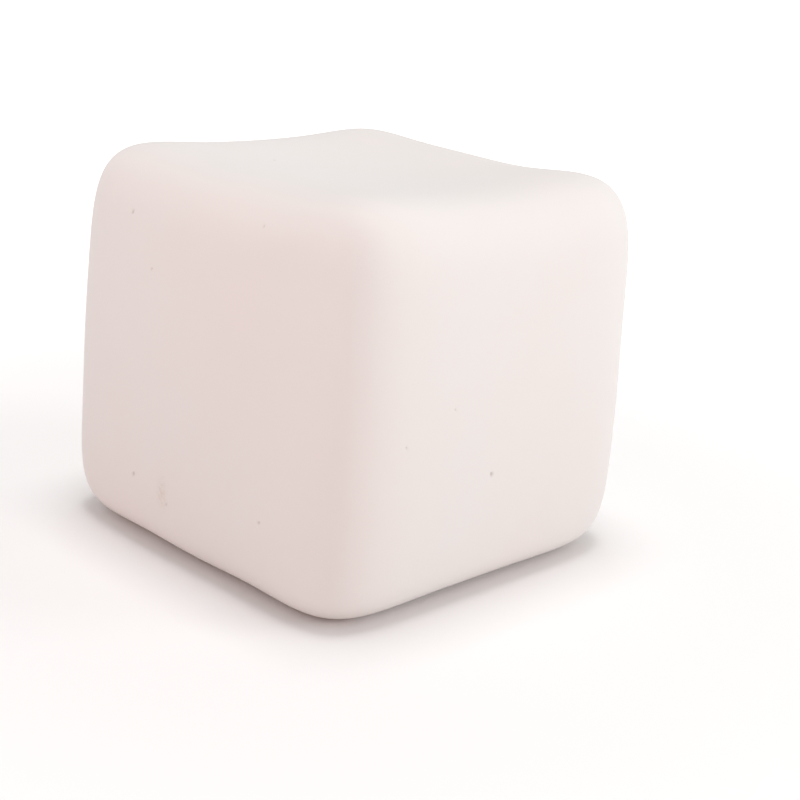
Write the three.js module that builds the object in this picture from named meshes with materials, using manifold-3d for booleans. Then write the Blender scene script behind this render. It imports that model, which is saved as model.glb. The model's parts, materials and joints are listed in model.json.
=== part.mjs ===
// A soft squeeze cube: flexible foam moulded in one shot inside a tough skin, poured in through a
// gate in its underside that is then trimmed and sealed. Its faces have shrunk inwards as the foam
// cooled, so the eight corners stand proud and the cube rests on four of them.
// Millimetres, +Z up, origin at the middle of the face that it rests on.

import * as THREE from "three";
import { mergeVertices } from "three/addons/utils/BufferGeometryUtils.js";
import Module from "manifold-3d";

// Size of the plain rounded block that the faces have drawn in from
const WIDTH = 65;
const DEPTH = 65;
const HEIGHT = 64.6;

// Outer form
const EDGE_POWER = 6.9; // rounding of the upright and bottom edges: 2 is a ball, more is squarer
const TOP_POWER = 5.9; // rounding of the top's edges
const POWER_TURN = 3; // how quickly one rounding becomes the other round mid height
const DRAFT = 0.5; // each side leans in this much above mid height, and out this much below
const SIDE_EDGE_SAG = 0.25; // middle of a side's edge, in from the corners
const SIDE_FACE_SAG = -0.36; // middle of a side, in from the corners (negative stands out)
const TOP_EDGE_SAG = 1.33; // middle of a top edge, below the corners
const TOP_FACE_SAG = 5.5; // middle of the top, below the corners
const BASE_EDGE_SAG = 0.9; // middle of a bottom edge, above the corners
const BASE_FACE_SAG = 3.4; // middle of the underside, above the corners
const SAG_POWER = 2.7; // 2 is a parabola across a face, more keeps the middle flatter
const TOP_SAG_POWER = 2;
const CORNER_PEAK = 0.6; // the top's corners, above where their rounding would leave them
const FOOT_PRESS = 0.35; // how far the four bottom corners are flattened by resting on them

// Walls and fits
const SKIN_THICKNESS = 1.0;
const BOND_CLEARANCE = 0.3; // between the skin and the foam that fills it
const GATE_RADIUS = 5;
const SEAL_CLEARANCE = 0.3; // round the seal, and between it and the foam
const SEAL_RECESS = 0.2; // the seal's face, inside the skin round it
const SEAL_EDGE_RADIUS = 0.3;

// Facets
const FLAT_REACH = 0.7; // where on a half face its rounding starts to be gridded by angle
const FLAT_STEPS = 4; // from a face's middle to there
const ARC_STEPS = 4; // from there to the middle of the rounding
const GATE_SIDES = 32;
const SEAL_EDGE_STEPS = 3;

const SKIN_FINISH = { color: 0xf0e9e6, roughness: 0.62, metalness: 0 };
const FOAM_FINISH = { color: 0xf3ead8, roughness: 0.95, metalness: 0 };
const SEAL_FINISH = { color: 0xe9e2de, roughness: 0.5, metalness: 0 };

const wasm = await Module();
wasm.setup();

// Where a grid line lies along a face, for u from -1 to 1: even steps on the flatter part, then
// even angles on the rounding.
function gridLine(u) {
  const flatShare = FLAT_STEPS / (FLAT_STEPS + ARC_STEPS);
  const share = Math.abs(u);
  if (share <= flatShare) return (u / flatShare) * FLAT_REACH;
  const start = Math.atan(FLAT_REACH ** (EDGE_POWER - 1));
  const angle = start + ((share - flatShare) / (1 - flatShare)) * (Math.PI / 4 - start);
  return Math.sign(u) * Math.tan(angle) ** (1 / (EDGE_POWER - 1));
}

// How far a face has drawn in at a place on it, a and b from -1 to 1: nothing at sharp corners,
// edgeSag at the middle of an edge and faceSag at the middle of the face.
function sag(a, b, edgeSag, faceSag, power) {
  const ga = 1 - Math.abs(a) ** power;
  const gb = 1 - Math.abs(b) ** power;
  return edgeSag * (ga + gb) + (faceSag - 2 * edgeSag) * ga * gb;
}

// The place on the outer form, about the block's middle, for a place on a cube from -1 to 1
function formPoint(cube) {
  const ring = (Math.abs(cube.x) ** EDGE_POWER + Math.abs(cube.y) ** EDGE_POWER) ** (1 / EDGE_POWER);
  const rise = 0.5 + 0.5 * Math.tanh(POWER_TURN * cube.z);
  const power = EDGE_POWER + (TOP_POWER - EDGE_POWER) * rise;
  const reach = (ring ** power + Math.abs(cube.z) ** power) ** (1 / power);
  const t = cube.clone().divideScalar(reach);
  const half = new THREE.Vector3(WIDTH, DEPTH, HEIGHT).multiplyScalar(0.5);
  const draw = new THREE.Vector3(
    sag(t.y, t.z, SIDE_EDGE_SAG, SIDE_FACE_SAG, SAG_POWER),
    sag(t.x, t.z, SIDE_EDGE_SAG, SIDE_FACE_SAG, SAG_POWER),
    t.z > 0
      ? sag(t.x, t.y, TOP_EDGE_SAG, TOP_FACE_SAG, TOP_SAG_POWER)
      : sag(t.x, t.y, BASE_EDGE_SAG, BASE_FACE_SAG, SAG_POWER),
  );
  const p = half.clone().sub(draw).multiply(t);
  p.x *= 1 - (DRAFT * t.z) / half.x;
  p.y *= 1 - (DRAFT * t.z) / half.y;
  const beyond = Math.abs(t.x) + Math.abs(t.y) + t.z - 2;
  const corner = 3 ** (1 - 1 / EDGE_POWER) - 2;
  p.z += CORNER_PEAK * Math.max(beyond / corner, 0) ** 2;
  return p;
}

// The outer form's closed grid, about the block's middle
function formGrid() {
  const steps = 2 * (FLAT_STEPS + ARC_STEPS);
  const box = new THREE.BoxGeometry(2, 2, 2, steps, steps, steps);
  box.deleteAttribute("normal");
  box.deleteAttribute("uv");
  const geometry = mergeVertices(box);
  const position = geometry.getAttribute("position");
  const cube = new THREE.Vector3();
  for (let i = 0; i < position.count; i += 1) {
    cube.fromBufferAttribute(position, i);
    cube.set(gridLine(cube.x), gridLine(cube.y), gridLine(cube.z));
    const p = formPoint(cube);
    position.setXYZ(i, p.x, p.y, p.z);
  }
  geometry.computeBoundingBox();
  geometry.computeVertexNormals();
  return geometry;
}

// How high the block's middle stands once the feet are pressed flat
function standHeight() {
  return -formGrid().boundingBox.min.z - FOOT_PRESS;
}

// A closed surface that follows the outer form at a distance inside it
function formGeometry(inset) {
  const geometry = formGrid();
  const position = geometry.getAttribute("position");
  const normal = geometry.getAttribute("normal");
  const height = standHeight();
  const p = new THREE.Vector3();
  const out = new THREE.Vector3();
  for (let i = 0; i < position.count; i += 1) {
    out.fromBufferAttribute(normal, i);
    p.fromBufferAttribute(position, i).addScaledVector(out, -inset);
    position.setXYZ(i, p.x, p.y, Math.max(p.z + height, inset));
  }
  geometry.computeVertexNormals();
  return geometry;
}

// The height of the skin's outer face at the middle of the underside
function gateLevel() {
  return formPoint(new THREE.Vector3(0, 0, -1)).z + standHeight();
}

// The trimmed gate's bore, through the skin only
function gateBore() {
  const length = 4 * SKIN_THICKNESS;
  const bore = new THREE.CylinderGeometry(GATE_RADIUS, GATE_RADIUS, length, GATE_SIDES);
  bore.rotateX(Math.PI / 2);
  bore.translate(0, 0, gateLevel() + SKIN_THICKNESS / 2);
  return bore;
}

// The seal: a round plug with softened rims, a little inside the skin's face
function sealGeometry() {
  const radius = GATE_RADIUS - SEAL_CLEARANCE;
  const low = gateLevel() + SEAL_RECESS;
  const high = gateLevel() + SKIN_THICKNESS + BOND_CLEARANCE - SEAL_CLEARANCE;
  const rim = (z, from) => {
    const points = [];
    for (let i = 0; i <= SEAL_EDGE_STEPS; i += 1) {
      const angle = from + (i / SEAL_EDGE_STEPS) * (Math.PI / 2);
      points.push(
        new THREE.Vector2(
          radius - SEAL_EDGE_RADIUS + SEAL_EDGE_RADIUS * Math.cos(angle),
          z + SEAL_EDGE_RADIUS * Math.sin(angle),
        ),
      );
    }
    return points;
  };
  const profile = [
    new THREE.Vector2(0, low),
    ...rim(low + SEAL_EDGE_RADIUS, -Math.PI / 2),
    ...rim(high - SEAL_EDGE_RADIUS, 0),
    new THREE.Vector2(0, high),
  ];
  const seal = new THREE.LatheGeometry(profile, GATE_SIDES);
  seal.rotateX(Math.PI / 2);
  return seal;
}

// A closed geometry as a solid that can be joined and cut
function toSolid(geometry) {
  const bare = geometry.clone();
  bare.deleteAttribute("normal");
  bare.deleteAttribute("uv");
  const merged = mergeVertices(bare);
  return new wasm.Manifold(
    new wasm.Mesh({
      numProp: 3,
      vertProperties: new Float32Array(merged.getAttribute("position").array),
      triVerts: new Uint32Array(merged.getIndex().array),
    }),
  );
}

function toGeometry(solid) {
  const mesh = solid.getMesh();
  const geometry = new THREE.BufferGeometry();
  geometry.setAttribute("position", new THREE.BufferAttribute(mesh.vertProperties, 3));
  geometry.setIndex(new THREE.BufferAttribute(mesh.triVerts, 1));
  geometry.computeVertexNormals();
  return geometry;
}

function piece(name, geometry, finish) {
  const mesh = new THREE.Mesh(geometry, new THREE.MeshStandardMaterial(finish));
  mesh.name = name;
  return mesh;
}

function outerSkin() {
  const wall = toSolid(formGeometry(0)).subtract(toSolid(formGeometry(SKIN_THICKNESS)));
  return piece("outer_skin", toGeometry(wall.subtract(toSolid(gateBore()))), SKIN_FINISH);
}

function foamCore() {
  return piece("foam_core", formGeometry(SKIN_THICKNESS + BOND_CLEARANCE), FOAM_FINISH);
}

function gateSeal() {
  return piece("gate_seal", sealGeometry(), SEAL_FINISH);
}

const group = new THREE.Group();
group.add(outerSkin(), foamCore(), gateSeal());

export default group;
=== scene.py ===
"""Soft squeeze cube: a foam filling in a tough moulded skin, with a sealed pour gate underneath."""

import json
import math

import bmesh
import bpy
import numpy as np
from bpy.props import (
    FloatProperty,
    FloatVectorProperty,
    IntProperty,
    PointerProperty,
)
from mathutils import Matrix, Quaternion, Vector

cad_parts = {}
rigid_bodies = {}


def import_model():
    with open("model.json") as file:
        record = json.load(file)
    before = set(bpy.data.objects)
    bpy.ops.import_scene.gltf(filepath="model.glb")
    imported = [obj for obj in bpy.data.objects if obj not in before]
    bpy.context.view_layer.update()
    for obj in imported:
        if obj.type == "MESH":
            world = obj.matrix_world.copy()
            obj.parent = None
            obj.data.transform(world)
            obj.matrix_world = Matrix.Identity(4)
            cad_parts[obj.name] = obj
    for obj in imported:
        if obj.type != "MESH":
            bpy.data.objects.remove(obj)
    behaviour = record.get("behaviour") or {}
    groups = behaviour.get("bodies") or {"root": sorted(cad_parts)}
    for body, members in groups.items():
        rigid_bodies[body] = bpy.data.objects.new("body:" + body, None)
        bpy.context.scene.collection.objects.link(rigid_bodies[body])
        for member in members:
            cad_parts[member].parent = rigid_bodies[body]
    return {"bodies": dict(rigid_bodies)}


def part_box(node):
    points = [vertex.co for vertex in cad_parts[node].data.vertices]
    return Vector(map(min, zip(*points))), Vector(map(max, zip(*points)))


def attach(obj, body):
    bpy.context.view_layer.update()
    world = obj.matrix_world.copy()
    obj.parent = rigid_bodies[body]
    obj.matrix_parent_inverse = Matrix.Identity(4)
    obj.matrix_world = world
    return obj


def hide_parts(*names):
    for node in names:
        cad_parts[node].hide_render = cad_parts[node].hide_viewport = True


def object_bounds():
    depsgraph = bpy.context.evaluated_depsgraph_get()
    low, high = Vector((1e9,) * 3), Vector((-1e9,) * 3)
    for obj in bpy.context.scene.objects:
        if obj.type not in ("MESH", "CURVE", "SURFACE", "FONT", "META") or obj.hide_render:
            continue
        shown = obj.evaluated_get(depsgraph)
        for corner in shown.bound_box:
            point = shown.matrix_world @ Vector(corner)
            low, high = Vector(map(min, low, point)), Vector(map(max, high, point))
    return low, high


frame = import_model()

bl_info = {
    "name": "Soft Squeeze Cube",
    "version": (1, 0, 0),
    "blender": (4, 5, 0),
    "location": "View3D > Sidebar > Squeeze Cube",
    "description": "Builds the moulded skin, foam filling and gate seal of a soft squeeze cube",
    "category": "Add Mesh",
}

CAD_LOW, CAD_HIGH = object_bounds()
SKIN_LOW, SKIN_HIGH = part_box("outer_skin")
FOAM_LOW, FOAM_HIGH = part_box("foam_core")
SEAL_LOW, SEAL_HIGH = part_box("gate_seal")
BODY = next(iter(frame["bodies"]))
MM = 0.001


# ---------------------------------------------------------------- sizes and colours


def length(name, description, mm, low=0.0):
    """A length property, given in millimetres and kept in metres."""
    return FloatProperty(
        name=name,
        description=description,
        default=mm * MM,
        min=low * MM,
        unit="LENGTH",
        subtype="DISTANCE",
        precision=5,
    )


def colour(name, description, rgb):
    """A colour property."""
    return FloatVectorProperty(
        name=name, description=description, default=rgb, size=3, min=0, max=1, subtype="COLOR"
    )


def number(name, description, default, low=0.0):
    """A property without a unit."""
    return FloatProperty(name=name, description=description, default=default, min=low, precision=4)


class CubeForm(bpy.types.PropertyGroup):
    """The moulded form that the skin and the foam share."""

    edge_power: number("Edge Power", "Upright and bottom edges: 2 is a ball, more is squarer", 6.9, 2)
    top_power: number("Top Power", "Rounding of the top's edges, in the same way", 5.9, 2)
    power_turn: number("Power Turn", "How quickly one rounding becomes the other", 3.0)
    draft: length("Draft", "How far each side leans in from mid height to the top", 0.5)
    side_edge_sag: length("Side Edge Sag", "Middle of a side's edge, in from its corners", 0.25, -5)
    side_face_sag: length("Side Sag", "Middle of a side, in from its corners", -0.36, -5)
    top_edge_sag: length("Top Edge Sag", "Middle of a top edge, below its corners", 1.33, -5)
    top_face_sag: length("Top Sag", "Middle of the top, below its corners", 5.5, -5)
    base_edge_sag: length("Base Edge Sag", "Middle of a bottom edge, above its corners", 0.9, -5)
    base_face_sag: length("Base Sag", "Middle of the underside, above its corners", 3.4, -5)
    sag_power: number("Sag Power", "2 is a parabola across a face, more is flatter", 2.7, 1)
    top_sag_power: number("Top Sag Power", "The same for the top", 2.0, 1)
    corner_peak: length("Corner Peak", "How far the top's corners stand above their rounding", 0.6)
    sink_depth: length("Sink Depth", "Depth of the shallow sink mark on one side", 1.3)
    sink_width: length("Sink Width", "From its middle to where a third is left, across", 9.8, 1)
    sink_height: length("Sink Height", "From its middle to where a third is left, upwards", 11.8, 1)
    sink_power: number("Sink Power", "1 is a bell curve, more gives it a flatter floor", 1.7, 0.5)
    sink_across: length("Sink Across", "The sink mark's middle, across its side", -19.2, -30)
    sink_up: length("Sink Up", "The sink mark's middle, above mid height", 8.8, -30)
    foot_press: length("Foot Press", "How far the bottom corners are pressed flat", 0.35)
    unevenness: length("Unevenness", "Height of the slow lumps that shrinking foam leaves", 0.1)


class SkinSizes(bpy.types.PropertyGroup):
    """Sizes of the moulded skin and its marks."""

    thickness: length("Thickness", "Skin between the outside and the foam", 1.0)
    steps: IntProperty(
        name="Steps", description="Grid steps across each face", default=112, min=16
    )
    pin_hole: length("Pin Hole", "Radius of the commonest air bubble at the surface", 0.21)
    pin_depth: length("Pin Hole Depth", "Depth of the commonest air bubble", 0.16)
    witness_width: length("Witness Width", "Width of the mould's parting line", 0.45)
    witness_height: length("Witness Height", "Height of the mould's parting line", 0.12)
    gate_lip: length("Gate Lip", "Height of the lip that trimming leaves round the gate", 0.12)


class Finishes(bpy.types.PropertyGroup):
    """Colours of the three finishes."""

    skin: colour("Skin", "Moulded outer skin", (0.80, 0.768, 0.747))
    skin_warm: colour("Skin Warm", "Warmer tone that drifts through the skin", (0.81, 0.757, 0.73))
    skin_scuff: colour("Scuff", "Rubbed and handled places", (0.66, 0.60, 0.58))
    smear: colour("Smear", "Faint rubbed smear on one side", (0.72, 0.65, 0.60))
    # painted shade: darker colour laid into the pin holes, deepest at their bottoms
    pin_hole: colour("Pin Hole", "Dust in the pin holes", (0.64, 0.59, 0.57))
    foam: colour("Foam", "Open-cell filling", (0.84, 0.79, 0.66))
    # painted shade in the hollows of the open cells
    foam_cell_shade: colour("Foam Cell", "Depth of the open cells", (0.60, 0.52, 0.38))
    seal: colour("Seal", "Brushed-on sealing compound", (0.80, 0.74, 0.71))


class StageSizes(bpy.types.PropertyGroup):
    """Where the camera and lights stand."""

    azimuth: FloatProperty(
        name="Azimuth",
        description="Camera's way round the cube, 0 looks along +Y",
        default=math.radians(-44.69),
        subtype="ANGLE",
    )
    elevation: FloatProperty(
        name="Elevation",
        description="Camera's height above level",
        default=math.radians(15.9),
        subtype="ANGLE",
    )
    roll: FloatProperty(
        name="Roll", description="Camera's tilt", default=math.radians(4.12), subtype="ANGLE"
    )
    distance: length("Distance", "From the camera to the cube's middle", 246.9)
    lens: FloatProperty(
        name="Focal Length", description="Camera's focal length in mm", default=71.45, min=10
    )
    shift_x: FloatProperty(name="Shift X", description="Framing, sideways", default=0.06)
    shift_y: FloatProperty(name="Shift Y", description="Framing, upwards", default=-0.0688)
    floor: colour("Floor", "Plain pale floor", (0.93, 0.92, 0.915))


# ---------------------------------------------------------------- the cube's form


FLAT_REACH = 0.7  # where on a half face its rounding starts to be gridded by angle
FLAT_SHARE = 0.72  # of the grid lines
FIT_ROUNDS = 6  # of setting the block's size until the finished form has the skin's
FIT_STEPS = 24  # grid steps across a face for that
SLOPE_STEP = 0.05 * MM  # along the form, to find its outward direction
NEAR_POLE = 0.8  # upward share of a direction, above which +X is used to turn from it
SINK_FADE = 4  # how steeply the sink mark fades round its side's edges


class Mould:
    """The drawn-in cube, as a function from the surface of a plain block to points in metres."""

    def __init__(self, form):
        self.form = form
        size = np.array(SKIN_HIGH - SKIN_LOW)
        self.block = size / 2
        for _ in range(FIT_ROUNDS):
            grids = face_grids(self.block, FIT_STEPS, form.edge_power)
            found = self.drawn(np.concatenate([grid.reshape(-1, 3) for grid, _ in grids]))
            self.stand = -found[:, 2].min() - form.foot_press
            reached = np.ptp(found, axis=0)
            reached[2] = found[:, 2].max() + self.stand
            self.block = self.block * size / reached

    @staticmethod
    def sag(a, b, edge_sag, face_sag, power):
        """Nothing at sharp corners, edge_sag at the middle of an edge and face_sag at the face's
        middle: the edge sag of each way across, plus what the middle has more."""
        ga = 1 - np.abs(a) ** power
        gb = 1 - np.abs(b) ** power
        return edge_sag * (ga + gb) + (face_sag - 2 * edge_sag) * ga * gb

    def drawn(self, on_block):
        """Points on the block go to the moulded form, about the block's middle.

        Each keeps its direction from the middle and moves to the superellipsoid where its three
        shares of the half size, each raised to the power, add up to 1. Then each face draws in by
        its sag, which fades to nothing towards mid height or the middle, the sides lean by the
        draft, and the top's corners rise by the square of how far the shares add up beyond 2."""
        f = self.form
        cube = on_block / self.block
        cube = cube / np.abs(cube).max(-1, keepdims=True)
        x, y, z = np.moveaxis(np.abs(cube), -1, 0)
        ring = (x**f.edge_power + y**f.edge_power) ** (1 / f.edge_power)
        rise = 0.5 + 0.5 * np.tanh(f.power_turn * cube[..., 2])
        power = f.edge_power + (f.top_power - f.edge_power) * rise
        t = cube / ((ring**power + z**power) ** (1 / power))[..., None]
        x, y, z = np.moveaxis(t, -1, 0)
        top = self.sag(x, y, f.top_edge_sag, f.top_face_sag, f.top_sag_power)
        base = self.sag(x, y, f.base_edge_sag, f.base_face_sag, f.sag_power)
        draw = np.stack(
            [
                self.sag(y, z, f.side_edge_sag, f.side_face_sag, f.sag_power),
                self.sag(x, z, f.side_edge_sag, f.side_face_sag, f.sag_power),
                np.where(z > 0, top, base),
            ],
            -1,
        )
        p = (self.block - draw) * t
        p[..., :2] *= 1 - f.draft * z[..., None] / self.block[:2]
        beyond = np.maximum(np.abs(x) + np.abs(y) + z - 2, 0)
        p[..., 2] += f.corner_peak * (beyond / (3 ** (1 - 1 / f.edge_power) - 2)) ** 2
        return p

    def outward(self, on_block):
        """The form's outward direction, square to two short steps along the form."""
        away = on_block / np.linalg.norm(on_block, axis=-1, keepdims=True)
        other = np.where(np.abs(away[..., 2:]) > NEAR_POLE, (1.0, 0.0, 0.0), (0.0, 0.0, 1.0))
        first = np.cross(away, other) * SLOPE_STEP
        second = np.cross(away, first)
        slopes = [
            self.drawn(on_block + way) - self.drawn(on_block - way) for way in (first, second)
        ]
        out = np.cross(*slopes)
        out *= np.sign((out * away).sum(-1, keepdims=True))
        return out / np.linalg.norm(out, axis=-1, keepdims=True)

    def sink(self, on_block):
        """Depth of the sink mark on the -X side: an oval bell curve with a flattened floor, which
        fades round the edges of that side."""
        f = self.form
        wide = (on_block[..., 1] - f.sink_across) / f.sink_width
        tall = (on_block[..., 2] - f.sink_up) / f.sink_height
        side = np.maximum(-on_block[..., 0] / self.block[0], 0) ** SINK_FADE
        return f.sink_depth * np.exp(-((wide**2 + tall**2) ** f.sink_power)) * side

    def place(self, on_block, inset=0.0, relief=0.0):
        """Points on the block go to the form as it stands: relief moves them outwards and the
        inset and the sink mark inwards, all square to the form, and what would be lower than the
        resting plane is pressed up to it."""
        shift = relief - inset - self.sink(on_block)
        p = self.drawn(on_block) + self.outward(on_block) * shift[..., None]
        p[..., 2] = np.maximum(p[..., 2] + self.stand, inset) + SKIN_LOW.z
        return p


def grid_lines(half, steps, power):
    """Positions of grid lines across one way of a block: even along the flatter part of a face,
    then at even turns of its rounding, with about the same spacing on the finished surface."""
    u = np.linspace(-1, 1, steps + 1)
    size = np.abs(u)
    start = math.atan(FLAT_REACH ** (power - 1))
    angle = start + np.clip((size - FLAT_SHARE) / (1 - FLAT_SHARE), 0, 1) * (math.pi / 4 - start)
    flat = size / FLAT_SHARE * FLAT_REACH
    rounded = np.tan(angle) ** (1 / (power - 1))
    return half * np.sign(u) * np.where(size < FLAT_SHARE, flat, rounded)


def face_grids(block, steps, power, with_base=True):
    """Each face of the block as a grid of points whose rows and columns turn outwards, with the
    face's axis and side."""
    grids = []
    for axis in range(3):
        for side in (-1, 1):
            if axis == 2 and side == -1 and not with_base:
                continue
            across, up = (axis + 1) % 3, (axis + 2) % 3
            a = grid_lines(block[across], steps, power)[::side]
            b = grid_lines(block[up], steps, power)
            points = np.empty((steps + 1, steps + 1, 3))
            points[..., axis] = side * block[axis]
            points[..., across] = a[:, None]
            points[..., up] = b[None, :]
            grids.append((points, (axis, side)))
    return grids


def base_rings(block, steps, power, gate, shares):
    """The block's underside round its gate, as closed rings from the gate's circle to the square
    border: each ring is the circle and the square, mixed by its share."""
    x = grid_lines(block[0], steps, power)
    y = grid_lines(block[1], steps, power)
    square = np.concatenate(
        [
            np.stack([x[:-1], np.full(steps, y[0])], -1),
            np.stack([np.full(steps, x[-1]), y[:-1]], -1),
            np.stack([x[:0:-1], np.full(steps, y[-1])], -1),
            np.stack([np.full(steps, x[0]), y[:0:-1]], -1),
        ]
    )
    circle = gate * square / np.linalg.norm(square, axis=-1, keepdims=True)
    mix = np.asarray(shares)[:, None, None]
    points = np.empty((len(shares), 4 * steps, 3))
    points[..., :2] = circle * (1 - mix) + square * mix
    points[..., 2] = -block[2]
    return points


def quads(rows, columns, first=0, closed=False):
    """Corner numbers of a grid's quads. A closed grid joins its last column to its first."""
    number = first + np.arange(rows * columns).reshape(rows, columns)
    if closed:
        number = np.concatenate([number, number[:, :1]], 1)
    corners = [number[:-1, :-1], number[1:, :-1], number[1:, 1:], number[:-1, 1:]]
    return np.stack([c.ravel() for c in corners], -1)


def make_mesh(name, points, faces, material, slot, weld=0.01 * MM, **marks):
    """A piece from its points and faces, with doubled seam points merged and faces smooth. Marks
    are numbers at the points that its material reads."""
    mesh = bpy.data.meshes.new(name)
    mesh.from_pydata(points, [], faces)
    for mark, values in marks.items():
        mesh.attributes.new(mark, "FLOAT", "POINT").data.foreach_set("value", values)
    bm = bmesh.new()
    bm.from_mesh(mesh)
    bmesh.ops.remove_doubles(bm, verts=bm.verts, dist=weld)
    open_edges = [e for e in bm.edges if not e.is_manifold]
    if open_edges:
        raise RuntimeError(f"{name} has {len(open_edges)} edges that don't join two faces")
    bm.to_mesh(mesh)
    bm.free()
    mesh.polygons.foreach_set("use_smooth", np.ones(len(mesh.polygons), bool))
    mesh.materials.append(material)
    piece = bpy.data.objects.new(name, mesh)
    bpy.context.scene.collection.objects.link(piece)
    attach(piece, BODY)
    return piece


# ---------------------------------------------------------------- the skin's relief

# Air bubbles at the surface: face (axis, side), then across and up that face in millimetres from
# its middle, and size against the commonest one.
PIN_HOLES = [
    ((0, -1), (15.5, 22.0), 1.1),
    ((0, -1), (9.0, 14.5), 0.9),
    ((0, -1), (-13.5, 26.5), 0.8),
    ((0, -1), (11.0, -18.5), 1.3),
    ((0, -1), (-17.5, -16.5), 1.0),
    ((0, -1), (3.0, -21.0), 0.9),
    ((1, -1), (1.0, -12.0), 0.8),
    ((1, -1), (-10.5, -3.0), 1.4),
    ((1, -1), (-3.0, -21.0), 0.8),
    ((0, 1), (-14.0, 9.0), 1.1),
    ((0, 1), (7.0, -16.0), 0.9),
    ((1, 1), (11.0, 13.0), 1.2),
    ((1, 1), (-9.0, -4.0), 0.8),
    ((2, 1), (-8.0, 12.0), 0.9),
]
SMEAR = (-1, 4.0, -19.0)  # a faint rubbed smear: side of the X faces, then Y and Z in millimetres
SMEAR_WIDTH, SMEAR_HEIGHT = 0.9, 2.0
PULL = 0.72  # how much closer grid lines stand at a pin hole
PULL_REACH = 2.2 * MM
PIN_STEEPNESS = 1.5  # 1 is a bell curve, more gives a pin hole steeper walls
LUMP_WAVES = (21, 27, 34, 46)  # lengths in millimetres
LUMP_SEED = 7


def pin_hole_places(face):
    """Centres in metres across and up a face, and sizes, of the pin holes on it."""
    found = [(a * MM, b * MM, size) for where, (a, b), size in PIN_HOLES if where == face]
    return np.array(found).reshape(-1, 3)


def draw_lines_in(points, face):
    """Moves a face's grid points towards its pin holes, by a share that falls off as a bell curve
    with distance, so that the grid is fine where a small hole needs it."""
    axis, _ = face
    across, up = (axis + 1) % 3, (axis + 2) % 3
    moved = points.copy()
    for a, b, _ in pin_hole_places(face):
        da, db = a - points[..., across], b - points[..., up]
        near = PULL * np.exp(-(da**2 + db**2) / PULL_REACH**2)
        moved[..., across] += near * da
        moved[..., up] += near * db
    return moved


def pin_holes(points, face, sizes):
    """How deep in a pin hole each point is, 1 at its bottom: a steep bell curve of the distance."""
    axis, _ = face
    across, up = (axis + 1) % 3, (axis + 2) % 3
    depth = np.zeros(points.shape[:-1])
    for a, b, size in pin_hole_places(face):
        d2 = (a - points[..., across]) ** 2 + (b - points[..., up]) ** 2
        depth += size * np.exp(-((d2 / (sizes.pin_hole * size) ** 2) ** PIN_STEEPNESS))
    return depth


def slow_lumps(points, height):
    """A sum of a few long sine waves in different directions, as uneven shrinking leaves."""
    rng = np.random.default_rng(LUMP_SEED)
    total = np.zeros(points.shape[:-1])
    for wave in LUMP_WAVES:
        way = rng.normal(size=3)
        way /= np.linalg.norm(way)
        total += np.sin(points @ way * 2 * math.pi / (wave * MM) + rng.uniform(0, 2 * math.pi))
    return total * height / 2


# ---------------------------------------------------------------- shader expressions


# Where a Mix node keeps its factor and its colour sockets, which share their names with others
MIX_FACTOR, MIX_LOW, MIX_HIGH = 0, 6, 7
MIX_RESULT = 2


class Value:
    """A socket in a shader, whose arithmetic adds Math nodes."""

    def __init__(self, shader, socket):
        self.shader, self.socket = shader, socket

    def math(self, operation, *others):
        return self.shader.node("ShaderNodeMath", {"operation": operation}, [self, *others])

    def __add__(self, other):
        return self.math("ADD", other)

    def __mul__(self, other):
        return self.math("MULTIPLY", other)

    def __sub__(self, other):
        return self.math("SUBTRACT", other)

    def above(self, other):
        return self.math("MAXIMUM", other)

    def ramp(self, low, high, out_low=0.0, out_high=1.0, kind="LINEAR"):
        """Runs from out_low at low to out_high at high, and stays there outside them."""
        values = {
            "Value": self,
            "From Min": low,
            "From Max": high,
            "To Min": out_low,
            "To Max": out_high,
        }
        settings = {"interpolation_type": kind}
        return self.shader.node("ShaderNodeMapRange", settings, values, "Result")


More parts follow.
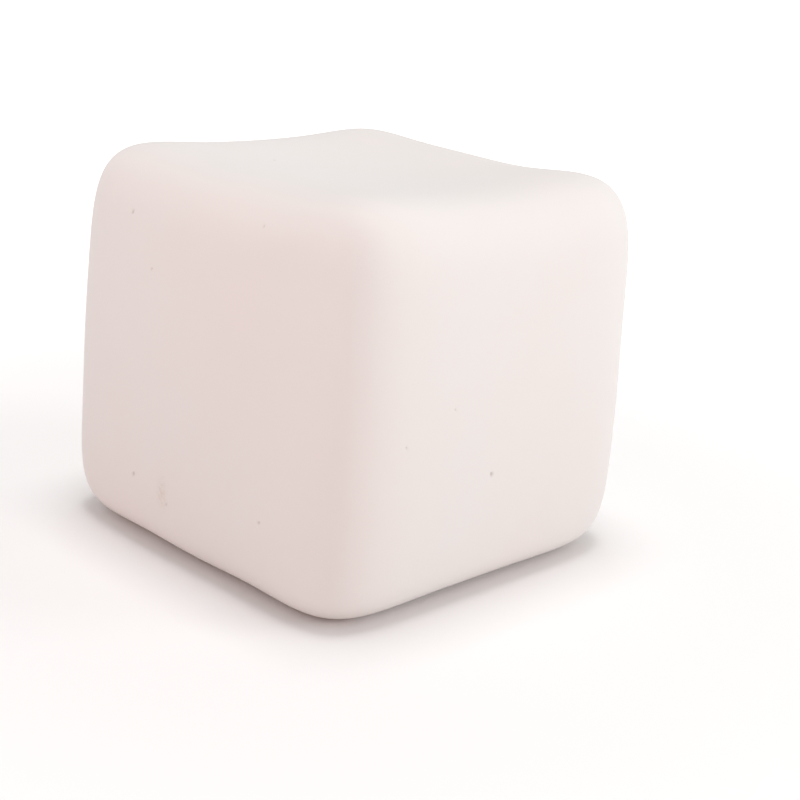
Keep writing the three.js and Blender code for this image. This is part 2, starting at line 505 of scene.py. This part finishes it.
class Shader:
    """A material's node tree round its Principled shader."""

    def __init__(self, name, **constants):
        self.material = bpy.data.materials.new(name)
        self.material.use_nodes = True
        self.tree = self.material.node_tree
        self.surface = self.tree.nodes["Principled BSDF"]
        for socket, value in constants.items():
            self.surface.inputs[socket.replace("_", " ")].default_value = value
        self.place = self.node("ShaderNodeTexCoord", {}, {}, "Object")

    def node(self, kind, settings, inputs, output=0):
        """Adds a node with its settings, then the values or links of its input sockets."""
        made = self.tree.nodes.new(kind)
        for key, value in settings.items():
            setattr(made, key, value)
        pairs = inputs.items() if isinstance(inputs, dict) else enumerate(inputs)
        for key, value in pairs:
            socket = made.inputs[key]
            if isinstance(value, Value):
                self.tree.links.new(value.socket, socket)
            elif socket.type == "RGBA":
                socket.default_value = (*value, 1)
            else:
                socket.default_value = value
        return Value(self, made.outputs[output])

    def noise(self, size, detail=2.0, roughness=0.5, place=None):
        """Soft noise whose lumps are about this many millimetres across."""
        inputs = {
            "Vector": place or self.place,
            "Scale": 1 / (size * MM),
            "Detail": detail,
            "Roughness": roughness,
        }
        return self.node("ShaderNodeTexNoise", {}, inputs, "Fac")

    def cells(self, size, feature="F1"):
        """Distance to the nearest cell centre or edge, for cells this many millimetres wide."""
        inputs = {"Vector": self.place, "Scale": 1 / (size * MM)}
        return self.node("ShaderNodeTexVoronoi", {"feature": feature}, inputs, "Distance")

    def mix(self, factor, low, high):
        """A colour between two colours."""
        inputs = {MIX_FACTOR: factor, MIX_LOW: low, MIX_HIGH: high}
        return self.node("ShaderNodeMix", {"data_type": "RGBA"}, inputs, MIX_RESULT)

    def mark(self, name):
        """A number that the piece carries at its points."""
        settings = {"attribute_type": "GEOMETRY", "attribute_name": name}
        return self.node("ShaderNodeAttribute", settings, {}, "Fac")

    def distance_from(self, centre):
        """Distance in metres from a point, worked out from the piece's own coordinates."""
        away = self.node("ShaderNodeVectorMath", {"operation": "SUBTRACT"}, [self.place, centre])
        return self.node("ShaderNodeVectorMath", {"operation": "LENGTH"}, [away], "Value")

    def bump(self, height, depth, under=None):
        """A Bump node: height from 0 to 1 stands for this many millimetres."""
        inputs = {"Height": height, "Distance": depth * MM, "Strength": 1.0}
        if under is not None:
            inputs["Normal"] = under
        return self.node("ShaderNodeBump", {}, inputs, "Normal")

    def feed(self, **links):
        for socket, value in links.items():
            self.tree.links.new(value.socket, self.surface.inputs[socket.replace("_", " ")])
        return self.material


def skin_finish(colours):
    """Matt moulded skin: slow warm drifts of tone, a fine orange peel with pores in it that are a
    little darker, faint scuffs, a faint smear, painted shade in the pin holes, and corners that
    handling has rubbed a little smoother."""
    s = Shader("moulded_skin", Roughness=0.62, Specular_IOR_Level=0.35)
    drift = s.noise(38, 2, 0.45).ramp(0.35, 0.65)
    mottle = s.noise(6, 4, 0.6).ramp(0.3, 0.7)
    tone = s.mix(drift * 0.7 + mottle * 0.3, tuple(colours.skin), tuple(colours.skin_warm))
    middle = (0.0, 0.0, (SKIN_LOW.z + SKIN_HIGH.z) / 2)
    reach = s.distance_from(middle)
    half = (SKIN_HIGH.x - SKIN_LOW.x) / 2
    corner = reach.ramp(half * 1.35, half * 1.62)
    pore = s.cells(0.7).ramp(0.05, 0.16, 1, 0) * s.noise(14, 1).ramp(0.45, 0.7)
    # the proud corners are a little scuffed, and the pores are a little darker
    scuffs_and_pores = corner * s.noise(3, 4, 0.65).ramp(0.4, 0.7) * 0.08 + pore * 0.06
    shade = s.mix(scuffs_and_pores, tone, tuple(colours.skin_scuff))
    smear = s.mark("smear") * s.noise(0.7, 3, 0.6).ramp(0.3, 0.6)
    shade = s.mix(smear, shade, tuple(colours.smear))
    # painted shade in the pin holes: darker towards their bottoms, by the pit mark
    shade = s.mix(s.mark("pit").ramp(0.1, 0.9), shade, tuple(colours.pin_hole))
    rough = s.noise(2.2, 3, 0.6) * 0.12 + 0.57 - corner * 0.07
    peel = s.bump(s.noise(0.55, 3, 0.55), 0.012)
    bump = s.bump(pore * -1.0, 0.02, peel)
    return s.feed(Base_Color=shade, Roughness=rough, Normal=bump)


def foam_finish(colours):
    """Open-cell foam: cells from 0.4 to 1 mm with thin walls between them, and painted shade in the
    cells' hollows.
    """
    s = Shader("open_cell_foam", Roughness=0.95, Specular_IOR_Level=0.15)
    large = s.cells(0.95, "DISTANCE_TO_EDGE")
    small = s.cells(0.42, "DISTANCE_TO_EDGE")
    wall = large.ramp(0.02, 0.16, 1, 0).above(small.ramp(0.03, 0.14, 0.8, 0))
    drift = s.noise(12, 3).ramp(0.35, 0.7)
    # painted shade: the cells' hollows darker than the walls between them
    shade = s.mix(wall * 0.85 + drift * 0.15, tuple(colours.foam_cell_shade), tuple(colours.foam))
    rough = s.noise(1.5, 2) * 0.08 + 0.88
    return s.feed(Base_Color=shade, Roughness=rough, Normal=s.bump(wall, 0.25))


def seal_finish(colours):
    """Sealing compound brushed over the gate: smoother than the skin, with brush drag in it."""
    s = Shader("brushed_seal", Roughness=0.42, Specular_IOR_Level=0.5)
    drag = s.node("ShaderNodeMapping", {}, {"Vector": s.place, "Scale": (1.0, 0.12, 1.0)})
    streak = s.noise(0.35, 3, 0.6, drag)
    shade = s.mix(streak.ramp(0.35, 0.7), tuple(colours.seal), tuple(colours.skin_scuff))
    shade = s.mix(0.25, tuple(colours.seal), shade)
    rough = streak * 0.22 + 0.33
    return s.feed(Base_Color=shade, Roughness=rough, Normal=s.bump(streak, 0.03))


# ---------------------------------------------------------------- operators


class SQUEEZE_OT_skin(bpy.types.Operator):
    """Build the moulded skin: outer surface, inner surface and the trimmed gate between them"""

    bl_idname = "squeeze_cube.skin"
    bl_label = "Moulded Skin"

    INNER_STEPS = 14
    INNER_RINGS = 8
    RINGS = 40
    GATE_CLEARANCE = 0.3 * MM
    GATE_LINES = (0.25, 0.5, 0.9, 1.4)  # extra rings this many millimetres from the gate
    PARTING_LINES = 9  # extra rings across the parting line
    LIP_WIDTH = 0.5 * MM
    WITNESS_ANGLE = math.radians(15)  # where on the bottom rounding the mould parts

    def execute(self, context):
        sizes = context.scene.squeeze_skin
        form = context.scene.squeeze_form
        mould = Mould(form)
        power = form.edge_power
        gate = (SEAL_HIGH.x - SEAL_LOW.x) / 2 + self.GATE_CLEARANCE
        points, faces, pits = [], [], []

        def add(placed, pit, closed=False, inwards=False):
            """Adds a grid of points and its faces, and gives the number of its first point."""
            first = sum(map(len, points))
            corners = quads(*placed.shape[:2], first, closed)
            faces.extend(corners[:, :: -1 if inwards else 1].tolist())
            points.append(placed.reshape(-1, 3))
            pits.append(np.broadcast_to(pit, placed.shape[:-1]).ravel())
            return first

        for grid, face in face_grids(mould.block, sizes.steps, power, with_base=False):
            grid = draw_lines_in(grid, face)
            pit = pin_holes(grid, face, sizes)
            relief = slow_lumps(grid, form.unevenness) - sizes.pin_depth * pit
            add(mould.place(grid, 0.0, relief), pit)
        shares, ridge = self.underside(mould, sizes, gate)
        rings = base_rings(mould.block, sizes.steps, power, gate, shares)
        relief = slow_lumps(rings, form.unevenness) + ridge[:, None]
        outer = add(mould.place(rings, 0.0, relief), 0.0, closed=True, inwards=True)
        for grid, _ in face_grids(mould.block, self.INNER_STEPS, power, with_base=False):
            add(mould.place(grid, sizes.thickness), 0.0, inwards=True)
        inner_shares = np.linspace(0, 1, self.INNER_RINGS)
        inner_rings = base_rings(mould.block, self.INNER_STEPS, power, gate, inner_shares)
        inner = add(mould.place(inner_rings, sizes.thickness), 0.0, closed=True)
        outer_gate = outer + np.arange(rings.shape[1])
        faces += self.rim(outer_gate, inner + np.arange(inner_rings.shape[1]))
        points = np.concatenate(points)
        skin = make_mesh(
            "moulded_skin",
            points,
            faces,
            skin_finish(context.scene.squeeze_finishes),
            "skin",
            pit=np.concatenate(pits),
            smear=self.smear(points, mould),
        )
        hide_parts("outer_skin")
        return {"FINISHED"}

    @staticmethod
    def smear(points, mould):
        """How strong the smear is at each point: an upright oval bell curve on one X face."""
        side, across, up = SMEAR
        middle = SKIN_LOW.z + mould.stand
        wide = (points[:, 1] / MM - across) / SMEAR_WIDTH
        tall = ((points[:, 2] - middle) / MM - up) / SMEAR_HEIGHT
        return np.exp(-(wide**2) - tall**2) * (points[:, 0] * side > mould.block[0] / 2)

    def underside(self, mould, sizes, gate):
        """Where the rings of the underside lie, from 0 at the gate to 1 at the border, and how far
        each stands out: as bell curves at the mould's parting line and at the gate's lip."""
        turned = math.tan(self.WITNESS_ANGLE) ** (1 / (mould.form.edge_power - 1))
        span = mould.block[0] - gate
        parting = (turned * mould.block[0] - gate) / span
        close = sizes.witness_width / span
        even = np.linspace(0, 1, self.RINGS)
        even = even[np.abs(even - parting) > close * 1.2]
        near_gate = np.array(self.GATE_LINES) * MM / span
        near_parting = parting + np.linspace(-1, 1, self.PARTING_LINES) * close
        shares = np.unique(np.concatenate([even, near_parting, near_gate]))
        off = (shares - parting) / (close / 2)
        lip = shares * span / self.LIP_WIDTH
        ridge = sizes.witness_height * np.exp(-(off**2)) + sizes.gate_lip * np.exp(-(lip**2))
        return shares, ridge

    @staticmethod
    def rim(outer, inner):
        """Joins the fine outer gate ring to the coarse inner one: each inner step takes as many
        outer steps as stand beside it."""
        per = len(outer) // len(inner)
        outer, inner = np.append(outer, outer[0]), np.append(inner, inner[0])
        return [
            [*outer[k * per : (k + 1) * per + 1].tolist(), int(inner[k + 1]), int(inner[k])]
            for k in range(len(inner) - 1)
        ]


class SQUEEZE_OT_foam(bpy.types.Operator):
    """Build the foam that fills the skin"""

    bl_idname = "squeeze_cube.foam"
    bl_label = "Foam Filling"

    STEPS = 64
    CELL_DEPTH = 0.12 * MM
    RIPPLE_CLOSENESS = 6.0  # how much shorter the ripples are than the skin's slow lumps
    RIPPLE_DROP = 1.2  # cell depths that the rippled surface lies in by

    def execute(self, context):
        form = context.scene.squeeze_form
        mould = Mould(form)
        inset = FOAM_LOW.z - SKIN_LOW.z
        points, faces = [], []
        count = 0
        for grid, _ in face_grids(mould.block, self.STEPS, form.edge_power):
            ripple = slow_lumps(grid * self.RIPPLE_CLOSENESS, self.CELL_DEPTH)
            ripple -= self.RIPPLE_DROP * self.CELL_DEPTH
            placed = mould.place(grid, inset, ripple)
            points.append(placed.reshape(-1, 3))
            faces += quads(*grid.shape[:2], count).tolist()
            count += len(points[-1])
        foam = make_mesh(
            "foam_filling",
            np.concatenate(points),
            faces,
            foam_finish(context.scene.squeeze_finishes),
            "foam",
        )
        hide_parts("foam_core")
        return {"FINISHED"}


class SQUEEZE_OT_seal(bpy.types.Operator):
    """Build the dab that seals the pour gate"""

    bl_idname = "squeeze_cube.seal"
    bl_label = "Gate Seal"

    AROUND = 96
    ACROSS = 40
    SQUARENESS = 5.0  # 2 is an ellipse across the dab, more gives it a flatter face
    WAVER = 0.15 * MM
    POLE = 0.94  # height of the two middle points, as a share of half the dab's thickness
    HOLLOW = 0.12  # how much lower the middle lies where the dab is thinnest

    def execute(self, context):
        """A closed round dab: radius and height follow a squarish ellipse from the lower pole to
        the upper one, and its edge wavers in and out by a few slow waves."""
        turn = np.linspace(0, 2 * math.pi, self.AROUND, endpoint=False)[None, :]
        rise = np.linspace(-math.pi / 2, math.pi / 2, self.ACROSS)[:, None]
        power = 2 / self.SQUARENESS
        half = (SEAL_HIGH - SEAL_LOW) / 2
        middle = (SEAL_HIGH + SEAL_LOW) / 2
        waves = 1 + 0.5 * np.sin(3 * turn + 0.4) + 0.5 * np.sin(7 * turn)
        waver = 1 - self.WAVER / half.x * waves
        out = np.abs(np.cos(rise)) ** power * half.x * waver
        thin = np.sin(2 * turn + 1) * 0.5 + 0.5
        sag = 1 - self.HOLLOW * (1 - (out / half.x) ** 2) * thin
        up = np.sign(np.sin(rise)) * np.abs(np.sin(rise)) ** power * half.z * sag
        points = np.stack([out * np.cos(turn), out * np.sin(turn), up], -1)
        points[0] = (0, 0, -half.z * self.POLE)
        points[-1] = (0, 0, half.z * self.POLE)
        points += np.array(middle)
        faces = quads(self.ACROSS, self.AROUND, 0, closed=True)[:, ::-1].tolist()
        seal = make_mesh(
            "gate_dab",
            points.reshape(-1, 3),
            faces,
            seal_finish(context.scene.squeeze_finishes),
            "seal",
            weld=0.002 * MM,
        )
        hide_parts("gate_seal")
        return {"FINISHED"}


class SQUEEZE_OT_stage(bpy.types.Operator):
    """Set the floor, the soft lights and the camera"""

    bl_idname = "squeeze_cube.stage"
    bl_label = "Studio Stage"

    FLOOR_REACH = 6.0
    PANEL_SIZE = 0.35
    PANEL_DISTANCE = 0.9
    # name, azimuth and elevation in degrees, power and colour
    LIGHTS = [
        ("key_panel", 45, 10, 2.2, (1, 1, 1)),
        ("top_panel", 0, 89.9, 3.65, (1, 1, 1)),
        ("back_panel", -130, 10, 0.2, (1, 1, 1)),
        ("warm_panel", -70, 10, 0.8, (1, 0.2, 0.1)),
    ]
    SKY = 0.565
    GLOW = 0.42  # painted glow of the floor away from the cube, like a sweep that is lit for itself; with none near the cube, the floor there is left darker
    GLOW_NEAR, GLOW_FULL = 0.05, 0.25  # metres from the cube's middle, where it starts and is full
    FAR_GLOW, FAR_REACH = 0.15, 1.5  # what is added by that many metres away
    SENSOR_WIDTH = 36

    def execute(self, context):
        stage = context.scene.squeeze_stage
        middle = (CAD_LOW + CAD_HIGH) / 2
        self.floor(context, stage)
        self.sky(context)
        for name, azimuth, elevation, power, tint in self.LIGHTS:
            lamp = bpy.data.lights.new(name, "AREA")
            lamp.shape, lamp.size, lamp.energy = "SQUARE", self.PANEL_SIZE, power
            lamp.color = tint
            light = bpy.data.objects.new(name, lamp)
            away = self.direction(math.radians(azimuth), math.radians(elevation))
            light.location = middle + away * self.PANEL_DISTANCE
            light.rotation_euler = (-away).to_track_quat("-Z", "Y").to_euler()
            context.scene.collection.objects.link(light)
        self.camera(context, stage)
        context.scene.view_settings.view_transform = "Standard"
        return {"FINISHED"}

    @staticmethod
    def direction(azimuth, elevation):
        """From the cube towards a place that far round and that high."""
        level = math.cos(elevation)
        return Vector((math.sin(azimuth) * level, -math.cos(azimuth) * level, math.sin(elevation)))

    def floor(self, context, stage):
        reach = self.FLOOR_REACH
        corners = [(-reach, -reach, 0), (reach, -reach, 0), (reach, reach, 0), (-reach, reach, 0)]
        mesh = bpy.data.meshes.new("floor")
        mesh.from_pydata(corners, [], [(0, 1, 2, 3)])
        shader = Shader(
            "pale_floor",
            Roughness=0.9,
            Specular_IOR_Level=0.1,
            Base_Color=(*stage.floor, 1),
            Emission_Strength=1.0,
        )
        # painted light: the floor glows by its own emission, rising from none near the cube to full
        # further off, which leaves a painted shade on the floor round the cube
        away = shader.distance_from((0, 0, 0))
        near = away.ramp(self.GLOW_NEAR, self.GLOW_FULL, 0, self.GLOW, "SMOOTHSTEP")
        far = away.ramp(self.GLOW_FULL, self.FAR_REACH, 0, self.FAR_GLOW)
        mesh.materials.append(shader.feed(Emission_Color=near + far))
        floor = bpy.data.objects.new("floor", mesh)
        floor.location.z = CAD_LOW.z
        context.scene.collection.objects.link(floor)

    def sky(self, context):
        world = bpy.data.worlds.new("studio")
        world.use_nodes = True
        background = world.node_tree.nodes["Background"]
        background.inputs["Color"].default_value = (1, 1, 1, 1)
        background.inputs["Strength"].default_value = self.SKY
        context.scene.world = world

    def camera(self, context, stage):
        lens = bpy.data.cameras.new("camera")
        lens.lens, lens.sensor_width = stage.lens, self.SENSOR_WIDTH
        lens.shift_x, lens.shift_y = stage.shift_x, stage.shift_y
        lens.clip_start = 0.01
        camera = bpy.data.objects.new("camera", lens)
        back = self.direction(stage.azimuth, stage.elevation)
        mould = Mould(context.scene.squeeze_form)
        aim = Vector((0, 0, SKIN_LOW.z + mould.stand))
        camera.location = aim + back * stage.distance
        camera.rotation_mode = "QUATERNION"
        turn = Quaternion((0, 0, 1), stage.roll)
        camera.rotation_quaternion = (-back).to_track_quat("-Z", "Y") @ turn
        context.scene.collection.objects.link(camera)
        context.scene.camera = camera


class SQUEEZE_PT_panel(bpy.types.Panel):
    """Sizes, colours and steps of the squeeze cube"""

    bl_label = "Squeeze Cube"
    bl_idname = "SQUEEZE_PT_panel"
    bl_space_type = "VIEW_3D"
    bl_region_type = "UI"
    bl_category = "Squeeze Cube"

    def draw(self, context):
        for group in GROUPS:
            column = self.layout.column(align=True)
            column.label(text=group)
            settings = getattr(context.scene, group)
            for name in settings.bl_rna.properties.keys():
                if name not in ("rna_type", "name"):
                    column.prop(settings, name)
        for operator in OPERATORS:
            self.layout.operator(operator.bl_idname)


GROUPS = {
    "squeeze_form": CubeForm,
    "squeeze_skin": SkinSizes,
    "squeeze_finishes": Finishes,
    "squeeze_stage": StageSizes,
}
OPERATORS = [SQUEEZE_OT_skin, SQUEEZE_OT_foam, SQUEEZE_OT_seal, SQUEEZE_OT_stage]


def register():
    for item in (*GROUPS.values(), *OPERATORS, SQUEEZE_PT_panel):
        bpy.utils.register_class(item)
    for name, group in GROUPS.items():
        setattr(bpy.types.Scene, name, PointerProperty(type=group))


def unregister():
    for name in GROUPS:
        delattr(bpy.types.Scene, name)
    for item in reversed((*GROUPS.values(), *OPERATORS, SQUEEZE_PT_panel)):
        bpy.utils.unregister_class(item)


def main():
    register()
    bpy.ops.squeeze_cube.skin()
    bpy.ops.squeeze_cube.foam()
    bpy.ops.squeeze_cube.seal()
    bpy.ops.squeeze_cube.stage()


if __name__ == "__main__":
    main()
